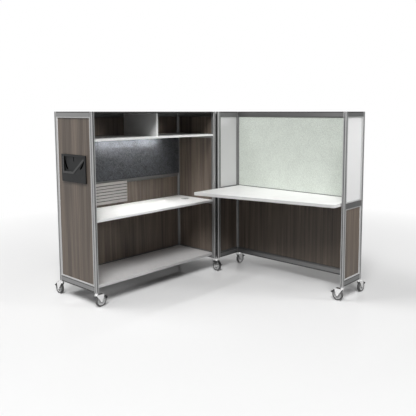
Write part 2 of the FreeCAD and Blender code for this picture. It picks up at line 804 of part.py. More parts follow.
def origin_shift():
    """From the hinge's foot to the centre of the whole footprint."""
    low_x = -half_width + (post_size - wood_thickness) / 2 - pocket_depth - trim_thickness
    high_x = fold_gap + desk_back_stem + pedal_reach_at_heading()
    low_y = -far_stem - fork_half - axle_head
    high_y = storage_back_stem + pedal_reach_at_heading()
    return Vector(-(low_x + high_x) / 2, -(low_y + high_y) / 2, 0)


def pedal_reach_at_heading():
    """How far a pedal's toe stands from its stem."""
    return wheel_point(wheel_radius + pedal_clearance, pedal_start_angle)[0] + pedal_toe_length


storage_frame()
desk_frame()
storage_boards()
cable_grommet()
storage_supports()
tack_and_tool()
task_light()
wall_pocket()
desk_worktop()
desk_brackets()
fold_hinge()
make_casters()

os.makedirs("parts", exist_ok=True)
shift = origin_shift()
for name, shapes in solids.items():
    whole = shapes[0] if len(shapes) == 1 else Part.makeCompound(shapes)
    whole.translate(shift)
    whole.exportStep(f"parts/{name}.step")
print(len(solids), "pieces, shifted by", tuple(round(v, 3) for v in shift))
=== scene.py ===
import math

import bmesh
import bpy
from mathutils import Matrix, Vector


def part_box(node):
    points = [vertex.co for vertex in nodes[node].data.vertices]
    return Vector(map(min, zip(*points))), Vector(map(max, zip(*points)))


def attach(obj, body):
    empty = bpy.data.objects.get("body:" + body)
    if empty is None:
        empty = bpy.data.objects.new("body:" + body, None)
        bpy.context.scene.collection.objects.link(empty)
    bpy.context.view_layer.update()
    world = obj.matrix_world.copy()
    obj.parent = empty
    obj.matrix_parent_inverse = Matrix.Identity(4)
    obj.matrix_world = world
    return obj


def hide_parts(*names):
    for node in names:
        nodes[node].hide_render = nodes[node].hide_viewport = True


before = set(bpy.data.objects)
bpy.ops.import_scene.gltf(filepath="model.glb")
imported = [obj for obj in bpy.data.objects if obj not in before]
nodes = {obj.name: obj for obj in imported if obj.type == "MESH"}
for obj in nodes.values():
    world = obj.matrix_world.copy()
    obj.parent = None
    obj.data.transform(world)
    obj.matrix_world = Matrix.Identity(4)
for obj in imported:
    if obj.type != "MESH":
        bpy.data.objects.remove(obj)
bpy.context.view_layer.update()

caster_names = [name.removesuffix("_wheel") for name in nodes if name.endswith("_wheel")]
scene = bpy.context.scene
scene.view_settings.view_transform = "Standard"

# The uprights' side, which the walls share, in metres like every length here
post = 0.030
post_middle = post / 2

# Camera, at the height of the frame's top, looking a little down into the corner
image_side = 416
sensor_side = 36
focal_pixels = 537.458
optical_centre_pixels = (233.444, 169.843)
camera_left_of_hinge = 4.1117
camera_before_hinge = 3.7930
camera_height = 1.6760
camera_heading = math.radians(40.837)
camera_pitch = math.radians(6.185)

low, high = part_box("hinge_pin")
camera_x = (low.x + high.x) / 2 - camera_left_of_hinge
camera_y = (low.y + high.y) / 2 - camera_before_hinge
camera_data = bpy.data.cameras.new("camera")
camera = bpy.data.objects.new("camera", camera_data)
scene.collection.objects.link(camera)
scene.camera = camera
camera_data.sensor_width = sensor_side
camera_data.lens = focal_pixels * sensor_side / image_side
camera_data.shift_x = (image_side / 2 - optical_centre_pixels[0]) / image_side
camera_data.shift_y = (optical_centre_pixels[1] - image_side / 2) / image_side
camera.location = (camera_x, camera_y, camera_height)
level = math.cos(camera_pitch)
ahead = Vector((level * math.cos(camera_heading), level * math.sin(camera_heading), -math.sin(camera_pitch)))
camera.rotation_euler = ahead.to_track_quat("-Z", "Y").to_euler()

# Materials, each kept under its name. Noise scales are in lumps per metre
looks = {}


class Look:
    """A material's nodes, made one call at a time. Patterns lie in the part's own frame, in metres."""

    def __init__(self, name):
        self.name = name
        self.material = bpy.data.materials.new(name)
        self.material.use_nodes = True
        self.tree = self.material.node_tree
        self.tree.nodes.clear()
        self.coordinates = self.add("ShaderNodeTexCoord").outputs["Object"]

    def add(self, kind, sockets=(), **settings):
        """Make a node, set what it is and feed its sockets with values or with other sockets."""
        node = self.tree.nodes.new(kind)
        for key, value in settings.items():
            setattr(node, key, value)
        for key, value in dict(sockets).items():
            self.feed(node.inputs[key], value)
        return node

    def feed(self, socket, value):
        if isinstance(value, bpy.types.NodeSocket):
            self.tree.links.new(value, socket)
        else:
            socket.default_value = value

    def places(self):
        """The coordinates as three numbers, x, y and z."""
        return self.add("ShaderNodeSeparateXYZ", {"Vector": self.coordinates}).outputs

    def stretched(self, scale):
        """The coordinates times a scale on each axis."""
        return self.add("ShaderNodeMapping", {"Vector": self.coordinates, "Scale": scale}).outputs["Vector"]

    def noise(self, scale, detail=4.0, roughness=0.5, distortion=0.0):
        sockets = {"Vector": self.stretched(scale), "Scale": 1.0, "Detail": detail, "Roughness": roughness,
                   "Distortion": distortion}
        return self.add("ShaderNodeTexNoise", sockets).outputs["Fac"]

    def even_noise(self, scale, detail=4.0, roughness=0.5, distortion=0.0):
        """Noise with the same scale on all axes."""
        return self.noise((scale, scale, scale), detail, roughness, distortion)

    def cells(self, scale):
        """The distance to the nearest of many scattered points."""
        sockets = {"Vector": self.stretched((scale, scale, scale)), "Scale": 1.0}
        return self.add("ShaderNodeTexVoronoi", sockets, feature="F1").outputs["Distance"]

    def ramp(self, value, low, high, start=0.0, end=1.0):
        """value between low and high, carried to between start and end."""
        sockets = {"Value": value, "From Min": low, "From Max": high, "To Min": start, "To Max": end}
        return self.add("ShaderNodeMapRange", sockets).outputs["Result"]

    def math(self, operation, first, second=0.0):
        return self.add("ShaderNodeMath", {0: first, 1: second}, operation=operation).outputs[0]

    def near(self, value, centre, reach):
        """One where value is within reach of centre, and zero elsewhere."""
        off = self.math("ABSOLUTE", self.math("SUBTRACT", value, centre))
        return self.math("LESS_THAN", off, reach)

    def weighted(self, *parts):
        """The sum of values, each times its share."""
        value, share = parts[0]
        total = self.math("MULTIPLY", value, share)
        for value, share in parts[1:]:
            total = self.math("ADD", total, self.math("MULTIPLY", value, share))
        return total

    def mix(self, share, first, second):
        node = self.add("ShaderNodeMix", data_type="RGBA")
        self.feed(node.inputs["Factor"], share)
        for key, value in (("A", first), ("B", second)):
            socket = [s for s in node.inputs if s.name == key and s.type == "RGBA"][0]
            self.feed(socket, value)
        return [s for s in node.outputs if s.type == "RGBA"][0]

    def bump(self, height, depth, strength, under=None):
        """A bump over another one, or over the bare surface."""
        sockets = {"Height": height, "Distance": depth, "Strength": strength}
        if under is not None:
            sockets["Normal"] = under
        return self.add("ShaderNodeBump", sockets).outputs["Normal"]

    def finish(self, **sockets):
        """The surface itself, kept under its name. Its sockets are named with underscores for spaces."""
        surface = self.add("ShaderNodeBsdfPrincipled")
        for key, value in sockets.items():
            name = key.replace("_", " ")
            if name not in surface.inputs:
                name = name.title()
            self.feed(surface.inputs[name], value)
        self.add("ShaderNodeOutputMaterial", {"Surface": surface.outputs["BSDF"]})
        looks[self.name] = self.material


def rgb(*values):
    """A colour with full cover."""
    return (*values, 1.0)


def grey(value):
    return rgb(value, value, value)


def scaled(colour, factor, more=0.0):
    """A colour times a factor, and a little more."""
    return rgb(*(value * factor + more for value in colour[:3]))


def wood_look(name, light, dark):
    """Grey-brown laminate with an upright grain: broad bands, streaks and fine pores."""
    look = Look(name)
    bands = look.noise((7, 7, 0.4), detail=3, distortion=0.8)
    stripes = look.noise((38, 38, 0.7), detail=3, roughness=0.6, distortion=0.4)
    streaks = look.noise((150, 150, 2.4), detail=6, roughness=0.65, distortion=0.3)
    fine = look.noise((600, 600, 9), detail=3, roughness=0.6)
    pores = look.noise((900, 900, 40), detail=2)
    grain = look.weighted((bands, 0.35), (stripes, 0.35), (streaks, 0.2), (fine, 0.1))
    colour = look.mix(look.ramp(grain, 0.42, 0.59), dark, light)
    pits = look.ramp(pores, 0.62, 0.72)
    colour = look.mix(look.math("MULTIPLY", pits, 0.35), colour, scaled(dark, 0.35))
    relief = look.math("SUBTRACT", look.math("MULTIPLY", fine, 0.5), pits)
    normal = look.bump(relief, depth=0.0004, strength=0.35)
    look.finish(Base_Color=colour, Roughness=look.ramp(streaks, 0.3, 0.7, 0.42, 0.55), Normal=normal)


def felt_look(name, colour):
    """Pressed felt: matted fibres, soft blotches and pale flecks."""
    look = Look(name)
    blotches = look.noise((17, 17, 22), detail=5, roughness=0.7, distortion=0.8)
    fibres = look.even_noise(500, detail=6, roughness=0.75, distortion=1.5)
    clumps = look.even_noise(62, roughness=0.65)
    flecks = look.ramp(look.cells(260), 0.16, 0.08, 0.0, 0.5)
    matted = look.weighted((blotches, 0.65), (fibres, 0.35))
    shade = look.weighted((matted, 0.6), (clumps, 0.4))
    base = look.mix(look.ramp(shade, 0.42, 0.58), scaled(colour, 0.55), scaled(colour, 1.65))
    base = look.mix(flecks, base, scaled(colour, 3.0))
    normal = look.bump(blotches, depth=0.008, strength=0.3)
    normal = look.bump(clumps, depth=0.0060, strength=0.9, under=normal)
    normal = look.bump(fibres, depth=0.0010, strength=0.4, under=normal)
    look.finish(Base_Color=base, Roughness=0.95, Normal=normal, Sheen_Weight=0.15, Sheen_Roughness=0.5)


def weave_look(name, colour, across):
    """Woven panel cloth: crossing threads, thick and thin yarn, and a slight fleck."""
    look = Look(name)
    thread_pitch = 0.0017
    turns = 2 * math.pi / thread_pitch
    places = look.places()
    wander = look.math("MULTIPLY", look.even_noise(60, detail=2), 3.0)
    warp = look.math("SINE", look.math("ADD", look.math("MULTIPLY", places[across], turns), wander))
    weft = look.math("SINE", look.math("ADD", look.math("MULTIPLY", places[2], turns), wander))
    threads = look.ramp(look.math("MULTIPLY", warp, weft), -1.0, 1.0)
    yarn = look.noise((90, 90, 420), detail=5, roughness=0.7)
    fleck = look.even_noise(170, detail=3, roughness=0.6)
    cloud = look.even_noise(9, detail=3)
    shade = look.weighted((yarn, 0.25), (fleck, 0.65), (cloud, 0.1))
    base = look.mix(look.ramp(shade, 0.40, 0.60), scaled(colour, 0.80), scaled(colour, 1.16))
    base = look.mix(look.ramp(threads, 0.35, 0.0, 0.0, 0.25), base, scaled(colour, 0.6))
    normal = look.bump(yarn, depth=0.0006, strength=0.3)
    normal = look.bump(threads, depth=0.0005, strength=0.5, under=normal)
    look.finish(Base_Color=base, Roughness=0.9, Normal=normal, Sheen_Weight=0.2, Sheen_Roughness=0.4)


def metal_look(name, colour, along=None, roughness=0.34, metallic=1.0, mark=None):
    """Satin metal with faint drawn lines along one axis, or an even fine grain. Mark may paint over it."""
    look = Look(name)
    scale = [700, 700, 700]
    if along is not None:
        scale[along] = 4
    lines = look.noise(scale, detail=3, roughness=0.6)
    blotches = look.even_noise(6, detail=2)
    shade = look.weighted((lines, 0.5), (blotches, 0.5))
    base = look.mix(look.ramp(shade, 0.35, 0.65), scaled(colour, 0.93), colour)
    if mark is not None:
        base = mark(look, base)
    rough = look.ramp(lines, 0.3, 0.7, roughness - 0.05, roughness + 0.06)
    normal = look.bump(lines, depth=0.0001, strength=0.02 if along is None else 0.12)
    look.finish(Base_Color=base, Metallic=metallic, Roughness=rough, Normal=normal)


def upright_shade_mark(node, hinge_gap_shadow=0):
    """Painted shade in the groove down the middle of each upright's faces, and a painted near-black shadow
    in the gap beside the hinge.
    """
    low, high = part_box(node)
    groove_half = 0.0044

    def mark(look, base):
        places = look.places()
        groove_shade = 0.0
        for axis in (0, 1):
            for middle in (low[axis] + post_middle, high[axis] - post_middle):
                groove_shade = look.math("MAXIMUM", groove_shade, look.near(places[axis], middle, groove_half))
        # Painted shade: each groove's strip is darkened as if in shadow.
        base = look.mix(groove_shade, base, grey(0.10))
        if not hinge_gap_shadow:
            return base
        in_hinge_gap = look.math("GREATER_THAN", places[1], high.y - hinge_gap_shadow)
        in_front = look.math("LESS_THAN", places[0], low.x + post_middle)
        # Painted shadow: near-black on the desk uprights beside the hinge, where the gap between the halves
        # is in shade.
        return look.mix(look.math("MULTIPLY", in_hinge_gap, in_front), base, grey(0.008))

    return mark


def rail_shadow_mark(node, dark):
    """A painted shadow line under the lowest bead, and a dark edge along the foot of the lowest rails."""
    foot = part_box(node)[0].z
    foot_edge = 0.005
    shadow_line_rise = 0.043
    shadow_line_half = 0.003

    def mark(look, base):
        height = look.places()[2]
        edge = look.math("LESS_THAN", height, foot + foot_edge)
        # Painted shadow: the line just under the lowest bead is darkened where shade falls; the foot edge is
        # darkened too.
        foot_or_shadow_line = look.math("MAXIMUM", edge, look.near(height, foot + shadow_line_rise, shadow_line_half))
        return look.mix(foot_or_shadow_line, base, dark)

    return mark


def bead_look(name, node, across):
    """Beads of one metal, painted dark inside each half as shade and bright outside. Across is the axis
    along the half's back wall.
    """
    look = Look(name)
    low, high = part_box(node)
    through = 1 - across
    places = look.places()
    shaded_inside = look.math("LESS_THAN", places[through], high[through] - post_middle)
    past_near_end = look.math("GREATER_THAN", places[across], low[across] + post_middle)
    before_far_end = look.math("LESS_THAN", places[across], high[across] - post_middle)
    shaded_inside = look.math("MULTIPLY", look.math("MULTIPLY", shaded_inside, past_near_end), before_far_end)
    grain = look.even_noise(700, detail=3, roughness=0.6)
    # Painted shade: the beads inside the halves get a darker grey than the outside ones.
    base = look.mix(shaded_inside, grey(0.6), grey(0.16))
    rough = look.ramp(grain, 0.3, 0.7, 0.26, 0.36)
    normal = look.bump(grain, depth=0.0001, strength=0.02)
    look.finish(Base_Color=base, Metallic=0.35, Roughness=rough, Normal=normal)


def laminate_look(name, colour, roughness=0.38):
    """Smooth laminate with a very fine pebble and slight wear."""
    look = Look(name)
    pebble = look.even_noise(900, detail=3, roughness=0.6)
    wear = look.even_noise(14, roughness=0.6)
    base = look.mix(look.ramp(wear, 0.35, 0.7), colour, scaled(colour, 0.96))
    rough = look.ramp(wear, 0.3, 0.7, roughness - 0.04, roughness + 0.08)
    look.finish(Base_Color=base, Roughness=rough, Normal=look.bump(pebble, depth=0.00015, strength=0.25))


def plastic_look(name, colour, roughness=0.42, specular=0.5, scuffed=None, mark=None):
    """Moulded plastic with a fine spark-eroded grain and paler scuffs. Mark may paint over it."""
    look = Look(name)
    fine = look.even_noise(1400, detail=2)
    scuffs = look.even_noise(30, detail=5, roughness=0.65)
    base = look.mix(look.ramp(scuffs, 0.4, 0.75), colour, scuffed or scaled(colour, 1.25, 0.004))
    if mark is not None:
        base = mark(look, base)
    rough = look.ramp(scuffs, 0.3, 0.7, roughness - 0.06, roughness + 0.08)
    normal = look.bump(fine, depth=0.0002, strength=0.35)
    look.finish(Base_Color=base, Roughness=rough, Normal=normal, Specular_IOR_Level=specular)


def slat_gap_shade(node):
    """Painted shade in the gaps between the slats, darkening with depth behind their faces."""
    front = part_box(node)[0].y
    gap_start = front + 0.0015
    gap_end = front + 0.0045

    def mark(look, base):
        # Painted shade: the gaps darken with depth behind the slat faces.
        return look.mix(look.ramp(look.places()[1], gap_start, gap_end), base, grey(0.045))

    return mark


def screen_look(name, white):
    """Frosted acrylic that lets some light through."""
    look = Look(name)
    frost = look.even_noise(700, detail=2)
    normal = look.bump(frost, depth=0.0002, strength=0.2)
    look.finish(Base_Color=grey(white), Roughness=0.5, Normal=normal, Transmission_Weight=0.25, IOR=1.45)


def lens_look(name, glow):
    """A ribbed lens that glows a little."""
    look = Look(name)
    ribs = look.noise((900, 10, 10), detail=1)
    normal = look.bump(ribs, depth=0.0002, strength=0.3)
    warm_white = rgb(1.0, 0.97, 0.92)
    look.finish(Base_Color=grey(0.9), Roughness=0.4, Normal=normal, Emission_Color=warm_white,
                Emission_Strength=glow)


wood_look("wood", light=rgb(0.230, 0.185, 0.150), dark=rgb(0.096, 0.076, 0.061))
laminate_look("board", grey(0.03))
laminate_look("worktop", rgb(0.86, 0.86, 0.85))
laminate_look("shelf", rgb(0.66, 0.65, 0.65))
laminate_look("divider", grey(0.8), roughness=0.6)
laminate_look("inner_board", rgb(0.93, 0.93, 0.92))
storage_groove_shade = upright_shade_mark("storage_posts")
desk_groove_and_gap_shade = upright_shade_mark("desk_posts", hinge_gap_shadow=0.0105)
metal_look("storage_upright", grey(0.50), along=2, metallic=0.4, mark=storage_groove_shade)
metal_look("desk_upright", grey(0.50), along=2, metallic=0.4, mark=desk_groove_and_gap_shade)
desk_end_foot_and_shadow = rail_shadow_mark("desk_end_rails", grey(0.055))
metal_look("rail_x", grey(0.22), along=0, roughness=0.36, metallic=0.45, mark=desk_end_foot_and_shadow)
metal_look("rail_y", grey(0.28), along=1, mark=rail_shadow_mark("storage_end_rails", grey(0.07)))
# Painted shade: the desk's back rails get a darker copy of the end rails' metal.
metal_look("rail_back_shaded", grey(0.23), along=1, mark=rail_shadow_mark("desk_back_rails", grey(0.138)))
bead_look("storage_bead", "storage_beads", across=0)
bead_look("desk_bead", "desk_beads", across=1)
plastic_look("cap", grey(0.012))
felt_look("felt", rgb(0.043, 0.046, 0.052))
weave_look("fabric", rgb(0.70, 0.75, 0.69), across=1)
slat_colour = rgb(0.42, 0.400, 0.390)
plastic_look("tool", slat_colour, scuffed=scaled(slat_colour, 1.12), mark=slat_gap_shade("tool_panel"))
plastic_look("pocket", rgb(0.012, 0.0125, 0.013), roughness=0.55, specular=0.3)
# Painted highlight: the trim is a paler copy of the pocket's plastic, for its lit lip.
plastic_look("pocket_trim", grey(0.045), roughness=0.45, specular=0.4)
# Near-black for the painted shadows on the wall pocket.
plastic_look("painted_pocket_shadow", grey(0.0005), roughness=1.0, specular=0.0)
plastic_look("grommet", grey(0.55))
metal_look("lamp", grey(0.55), along=0)
plastic_look("support", grey(0.3), roughness=0.5)
plastic_look("hinge", grey(0.01), roughness=0.5)
metal_look("steel", grey(0.6), along=2, roughness=0.2)
metal_look("chrome", grey(0.88), roughness=0.10)
plastic_look("tread", grey(0.11), roughness=0.45)
plastic_look("wheel", grey(0.50), roughness=0.35)
plastic_look("pedal", grey(0.01), roughness=0.4)
# Painted light and shade: the two screens are one acrylic, the left painted darker and the right paler.
screen_look("left_screen", white=0.79)
screen_look("right_screen", white=0.93)
lens_look("lens", glow=6.0)

nodes_of_looks = {
    "wood": ["storage_left_panel", "storage_right_panel", "storage_back_panel", "left_lower_panel",
             "right_lower_panel", "back_lower_panel"],
    "board": ["storage_top_panel"],
    "worktop": ["desk_worktop"],
    "shelf": ["floor_shelf"],
    "divider": ["overhead_divider"],
    "inner_board": ["overhead_shelf", "storage_worktop"],
    "storage_upright": ["storage_posts"],
    "desk_upright": ["desk_posts"],
    "rail_x": ["storage_back_rails", "desk_end_rails"],
    "rail_y": ["storage_end_rails"],
    "rail_back_shaded": ["desk_back_rails"],
    "storage_bead": ["storage_beads"],
    "desk_bead": ["desk_beads"],
    "cap": ["storage_edge_strips", "desk_edge_strips"],
    "felt": ["tackboard"],
    "fabric": ["fabric_screen"],
    "tool": ["tool_panel"],
    "pocket": ["wall_pocket"],
    "pocket_trim": ["pocket_trim"],
    "grommet": ["cable_grommet"],
    "lamp": ["task_light"],
    "lens": ["task_light_lens"],
    "support": ["shelf_supports", "desk_brackets"],
    "left_screen": ["left_screen"],
    "right_screen": ["right_screen"],
    "hinge": ["storage_hinge_leaf", "desk_hinge_leaf", "hinge_pin"],
    "steel": ["storage_caster_stems", "desk_caster_stems"],
    "chrome": [caster + "_fork" for caster in caster_names],
    "wheel": [caster + "_wheel" for caster in caster_names],
    "pedal": [caster + "_brake" for caster in caster_names],
}
for look, names in nodes_of_looks.items():
    for name in names:
        nodes[name].data.materials.clear()
        nodes[name].data.materials.append(looks[look])


# CAD pieces keep their meshes, and get softened edges on top
def soften(name, width):
    """Round a CAD piece's sharp edges a little, over its own mesh."""
    node = nodes[name]
    weld = node.modifiers.new("weld", "WELD")
    weld.merge_threshold = 0.00002
    flat = node.modifiers.new("flat", "DECIMATE")
    flat.decimate_type = "DISSOLVE"
    flat.angle_limit = math.radians(0.5)
    bevel = node.modifiers.new("bevel", "BEVEL")
    bevel.width = width
    bevel.segments = 2
    bevel.limit_method = "ANGLE"
    bevel.angle_limit = math.radians(40)
    bevel.use_clamp_overlap = True
    shade = node.modifiers.new("shade", "WEIGHTED_NORMAL")
    shade.keep_sharp = True


edge_widths = {
    0.0006: ["storage_beads", "desk_beads", "storage_edge_strips", "desk_edge_strips", "shelf_supports",
             "desk_brackets"],
    0.0010: ["storage_end_rails", "storage_back_rails", "desk_end_rails", "desk_back_rails", "tool_panel",
             "pocket_trim"],
    0.0015: ["task_light", "wall_pocket", "overhead_divider", "storage_top_panel"],
    0.0008: nodes_of_looks["chrome"] + nodes_of_looks["pedal"],
}
for width, names in edge_widths.items():
    for name in names:
        soften(name, width)


def add_piece(name, mesh, look, body, smooth_angle=40):
    """A modelled piece from a bmesh, on its body and in its finish."""
    bmesh.ops.recalc_face_normals(mesh, faces=mesh.faces)
    data = bpy.data.meshes.new(name)
    mesh.to_mesh(data)
    mesh.free()
    data.shade_smooth()
    data.set_sharp_from_angle(angle=math.radians(smooth_angle))
    data.materials.append(looks[look])
    piece = bpy.data.objects.new(name, data)
    scene.collection.objects.link(piece)
    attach(piece, body)
    return piece


def bridge(mesh, first, second):
    """Faces between two closed rings of as many points."""
    count = len(first)
    for i in range(count):
        j = (i + 1) % count
        mesh.faces.new((first[i], first[j], second[j], second[i]))


# The tackboard and the fabric screen: boards wrapped in cloth, a little sunk towards their edges
def crowded_places(length):
    """Places along a side, crowded towards both ends."""
    near_end = [0.0, 0.0006, 0.0018, 0.0035, 0.006, 0.010, 0.016, 0.026, 0.045]
    gap_count = 12
    gap = (length - 2 * near_end[-1]) / gap_count
    middle = [near_end[-1] + gap * i for i in range(1, gap_count)]
    return near_end + middle + [length - place for place in reversed(near_end)]


def wrapped_board(name, node, look, body, thick_axis, sink, both_faces):
    """A closed cloth-wrapped board that fills its CAD solid and rounds over at the edges."""
    low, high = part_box(node)
    across_axis = 1 - thick_axis
    width = high[across_axis] - low[across_axis]
    height = high.z - low.z
    rounding_reach = 0.004
    pull_reach = 0.03
    pull_share = 0.35
    mesh = bmesh.new()

    def depth(u, v):
        """How far the cloth lies under the board's face, u across and v up."""
        edge = min(u, width - u, v, height - v)
        return sink * (math.exp(-edge / rounding_reach) + pull_share * math.exp(-edge / pull_reach))

    def face(place, inward, soft):
        """Rows of points over one face, joined by faces."""
        rows = []
        for v in crowded_places(height):
            row = []
            for u in crowded_places(width):
                point = [0.0, 0.0, low.z + v]
                point[across_axis] = low[across_axis] + u
                point[thick_axis] = place + inward * (depth(u, v) if soft else 0.0)
                row.append(mesh.verts.new(point))
            rows.append(row)
        for lower, upper in zip(rows, rows[1:]):
            for corners in zip(lower, lower[1:], upper[1:], upper):
                mesh.faces.new(corners)
        return rows

    def rim(rows):
        """The points round a face's edge."""
        return rows[0] + [row[-1] for row in rows[1:]] + rows[-1][-2::-1] + [row[0] for row in rows[-2:0:-1]]

    front = face(low[thick_axis], 1, True)
    back = face(high[thick_axis], -1, both_faces)
    bridge(mesh, rim(front), rim(back))
    piece = add_piece(name, mesh, look, body, smooth_angle=60)
    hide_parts(node)


wrapped_board("felt_board", "tackboard", "felt", "storage_half",
              thick_axis=1, sink=0.0035, both_faces=False)
wrapped_board("cloth_screen", "fabric_screen", "fabric", "desk_half",
              thick_axis=0, sink=0.003, both_faces=True)

# Caster wheels: a tread on a hub with six ribs. Falls are from a radius, insets from half a width
wheel_side_play = 0.0007
tread_depth = 0.011
tread_falls_and_insets = [(tread_depth, 0.0014), (0.0090, 0.0004), (0.0060, 0.0), (0.0030, 0.0008),
                          (0.0012, 0.0024), (0.0003, 0.0048), (0.0, 0.0080)]
hub_inset = 0.0018
rim_falls_and_insets = [(0.0, 0.0006), (0.0008, 0.0), (0.0042, 0.0), (0.0052, 0.0012)]
outer_web_falls_halves_and_ribs = [(0.0066, 0.0062, 0.0010), (0.0090, 0.0048, 0.0055)]
inner_web_radii_halves_and_ribs = [(0.0180, 0.0046, 0.0058), (0.0150, 0.0060, 0.0050)]
boss_radii_and_insets = [(0.0136, 0.0022), (0.0124, 0.0006), (0.0110, 0.0), (0.0058, 0.0), (0.0048, 0.0008)]
rib_count = 6
rib_sharpness = 6
tread_steps = 96
hub_steps = 120


def turned_ring(mesh, half_profile, centre, axis, steps):
    """Sweep half a profile, of (radius, place along the axle, rib height), and its mirror round the axle."""
    profile = half_profile + [(radius, -along, rib) for radius, along, rib in reversed(half_profile)]
    rings = []
    for step in range(steps):
        angle = 2 * math.pi * step / steps
        rib_share = max(0.0, math.cos(rib_count * angle)) ** rib_sharpness
        ring = []
        for radius, along, rib in profile:
            point = [0.0, 0.0, centre.z + radius * math.sin(angle)]
            point[axis] = centre[axis] + along + math.copysign(rib * rib_share, along)
            point[1 - axis] = centre[1 - axis] + radius * math.cos(angle)
            ring.append(mesh.verts.new(point))
        rings.append(ring)
    for first, second in zip(rings, rings[1:] + rings[:1]):
        bridge(mesh, first, second)


def caster_wheel(caster):
    """A wheel's tread and hub, turned on its axle inside its CAD solid."""
    node = caster + "_wheel"
    low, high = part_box(node)
    centre = (low + high) / 2
    axis = 0 if high.x - low.x < high.y - low.y else 1
    outer = (high.z - low.z) / 2
    half = (high[axis] - low[axis]) / 2
    rim = outer - tread_depth
    tread_half = half - wheel_side_play
    hub_half = tread_half - hub_inset
    tread = [(outer - fall, tread_half - inset, 0) for fall, inset in tread_falls_and_insets]
    hub = [(rim - fall, hub_half - inset, 0) for fall, inset in rim_falls_and_insets]
    hub += [(rim - fall, web_half, rib) for fall, web_half, rib in outer_web_falls_halves_and_ribs]
    hub += inner_web_radii_halves_and_ribs
    hub += [(radius, half - inset, 0) for radius, inset in boss_radii_and_insets]
    turned = [("tread", tread, "tread", tread_steps), ("hub", hub, "wheel", hub_steps)]
    for name, half_profile, look, steps in turned:
        mesh = bmesh.new()
        turned_ring(mesh, half_profile, centre, axis, steps)
        piece = add_piece(caster + "_" + name, mesh, look, node)
        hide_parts(node)


for caster in caster_names:
    caster_wheel(caster)

# Socket screws that hold the angles and brackets
screw_radius = 0.0040
screw_height = 0.0024
screw_seat = 0.0003
screw_steps = 24
dome_shares = [(1.0, 0.25), (0.9, 0.6), (0.7, 0.88), (0.52, 1.0)]
socket_shares = [(0.46, 1.0), (0.42, 0.35)]
hexagon_side = math.pi / 3


def screw_head(mesh, place, direction):
    """A button head with a hexagon socket, seated on a face that looks along direction."""
    turn = Vector(direction).to_track_quat("Z", "Y")
    rows = [(1.0, -screw_seat, False)]
    rows += [(share, rise_share * screw_height, False) for share, rise_share in dome_shares]
    rows += [(share, rise_share * screw_height, True) for share, rise_share in socket_shares]
    rings = []
    for share, rise, in_socket in rows:
        ring = []
        for step in range(screw_steps):
            angle = 2 * math.pi * step / screw_steps
            reach = screw_radius * share
            if in_socket:
                off_flat = hexagon_side / 2 - abs(angle % hexagon_side - hexagon_side / 2)
                reach *= math.cos(hexagon_side / 2) / math.cos(hexagon_side / 2 - off_flat)
            point = Vector((reach * math.cos(angle), reach * math.sin(angle), rise))
            ring.append(mesh.verts.new(Vector(place) + turn @ point))
        rings.append(ring)
    for first, second in zip(rings, rings[1:]):
        bridge(mesh, first, second)
    mesh.faces.new(rings[0])
    mesh.faces.new(rings[-1])


# Places in the halves: s from the hinge side, t from the half's front, z from the floor
pin_from_front = 0.0027
low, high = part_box("hinge_pin")
pin = (low + high) / 2
hinge_corner = Vector((pin.x - pin_from_front, pin.y, 0))
fold_gap = 2 * pin_from_front


def storage_point(s, t, z):
    return hinge_corner + Vector((-s, t, z))


def desk_point(s, t, z):
    return hinge_corner + Vector((fold_gap + t, -s, z))


low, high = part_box("storage_end_rails")
half_width = high.x - low.x
plate_thickness = 0.003
angle_face = post + plate_thickness
screw_drop = 0.014
storage_screw_places = (0.05, 0.27, 0.49)
mesh = bmesh.new()
for board in ("overhead_shelf", "storage_worktop"):
    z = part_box(board)[0].z - screw_drop
    for t in storage_screw_places:
        screw_head(mesh, storage_point(angle_face, t, z), (-1, 0, 0))
        screw_head(mesh, storage_point(half_width - angle_face, t, z), (1, 0, 0))
add_piece("storage_screws", mesh, "steel", "storage_half")

worktop_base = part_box("desk_worktop")[0].z
desk_back_inside = 0.312
desk_screw_places = (0.065, 0.165, 0.265)
bracket_shares = (0.34, 0.67)
bracket_screw_side = 0.012
bracket_back_drops = (0.030, 0.066)
bracket_top_places = (-0.15, 0.04, 0.22)
mesh = bmesh.new()
for t in desk_screw_places:
    z = worktop_base - screw_drop
    screw_head(mesh, desk_point(angle_face, t, z), (0, -1, 0))
    screw_head(mesh, desk_point(half_width - angle_face, t, z), (0, 1, 0))
for share in bracket_shares:
    for side in (-bracket_screw_side, bracket_screw_side):
        s = half_width * share + side
        for drop in bracket_back_drops:
            place = desk_point(s, desk_back_inside - plate_thickness, worktop_base - drop)
            screw_head(mesh, place, (-1, 0, 0))
        for t in bracket_top_places:
            screw_head(mesh, desk_point(s, t, worktop_base - plate_thickness), (0, 0, -1))
add_piece("desk_screws", mesh, "steel", "desk_half")

# End knuckles that carry the hinge on to the ends of its two uprights
knuckle_radius = pin_from_front - 0.00035
knuckle_steps = 32
knuckle_seam = 0.0004
knuckle_end_inset = 0.001
knuckle_shares = [(0.55, 0.0), (1.0, 0.15), (1.0, 0.9), (0.6, 1.0)]
leaf_low, leaf_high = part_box("storage_hinge_leaf")
post_low, post_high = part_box("storage_posts")
knuckles = [
    (leaf_high.z + knuckle_seam, post_high.z - knuckle_end_inset),
    (leaf_low.z - knuckle_seam, post_low.z + knuckle_end_inset),
]
mesh = bmesh.new()
for start, end in knuckles:
    rings = []
    for radius_share, length_share in knuckle_shares:
        reach = knuckle_radius * radius_share
        z = start + length_share * (end - start)
        angles = [2 * math.pi * step / knuckle_steps for step in range(knuckle_steps)]
        places = [(pin.x + reach * math.cos(a), pin.y + reach * math.sin(a), z) for a in angles]
        rings.append([mesh.verts.new(place) for place in places])
    for first, second in zip(rings, rings[1:]):
        bridge(mesh, first, second)
    mesh.faces.new(rings[0])
    mesh.faces.new(rings[-1])
add_piece("hinge_end_knuckles", mesh, "hinge", "storage_half")

# Painted shadows on the wall pocket: black wedges where its trim shades it, and a black sheet behind its
# hanging slot as the slot's shade
low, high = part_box("wall_pocket")
shadow_thickness = 0.0004
sheet_thickness = 0.002
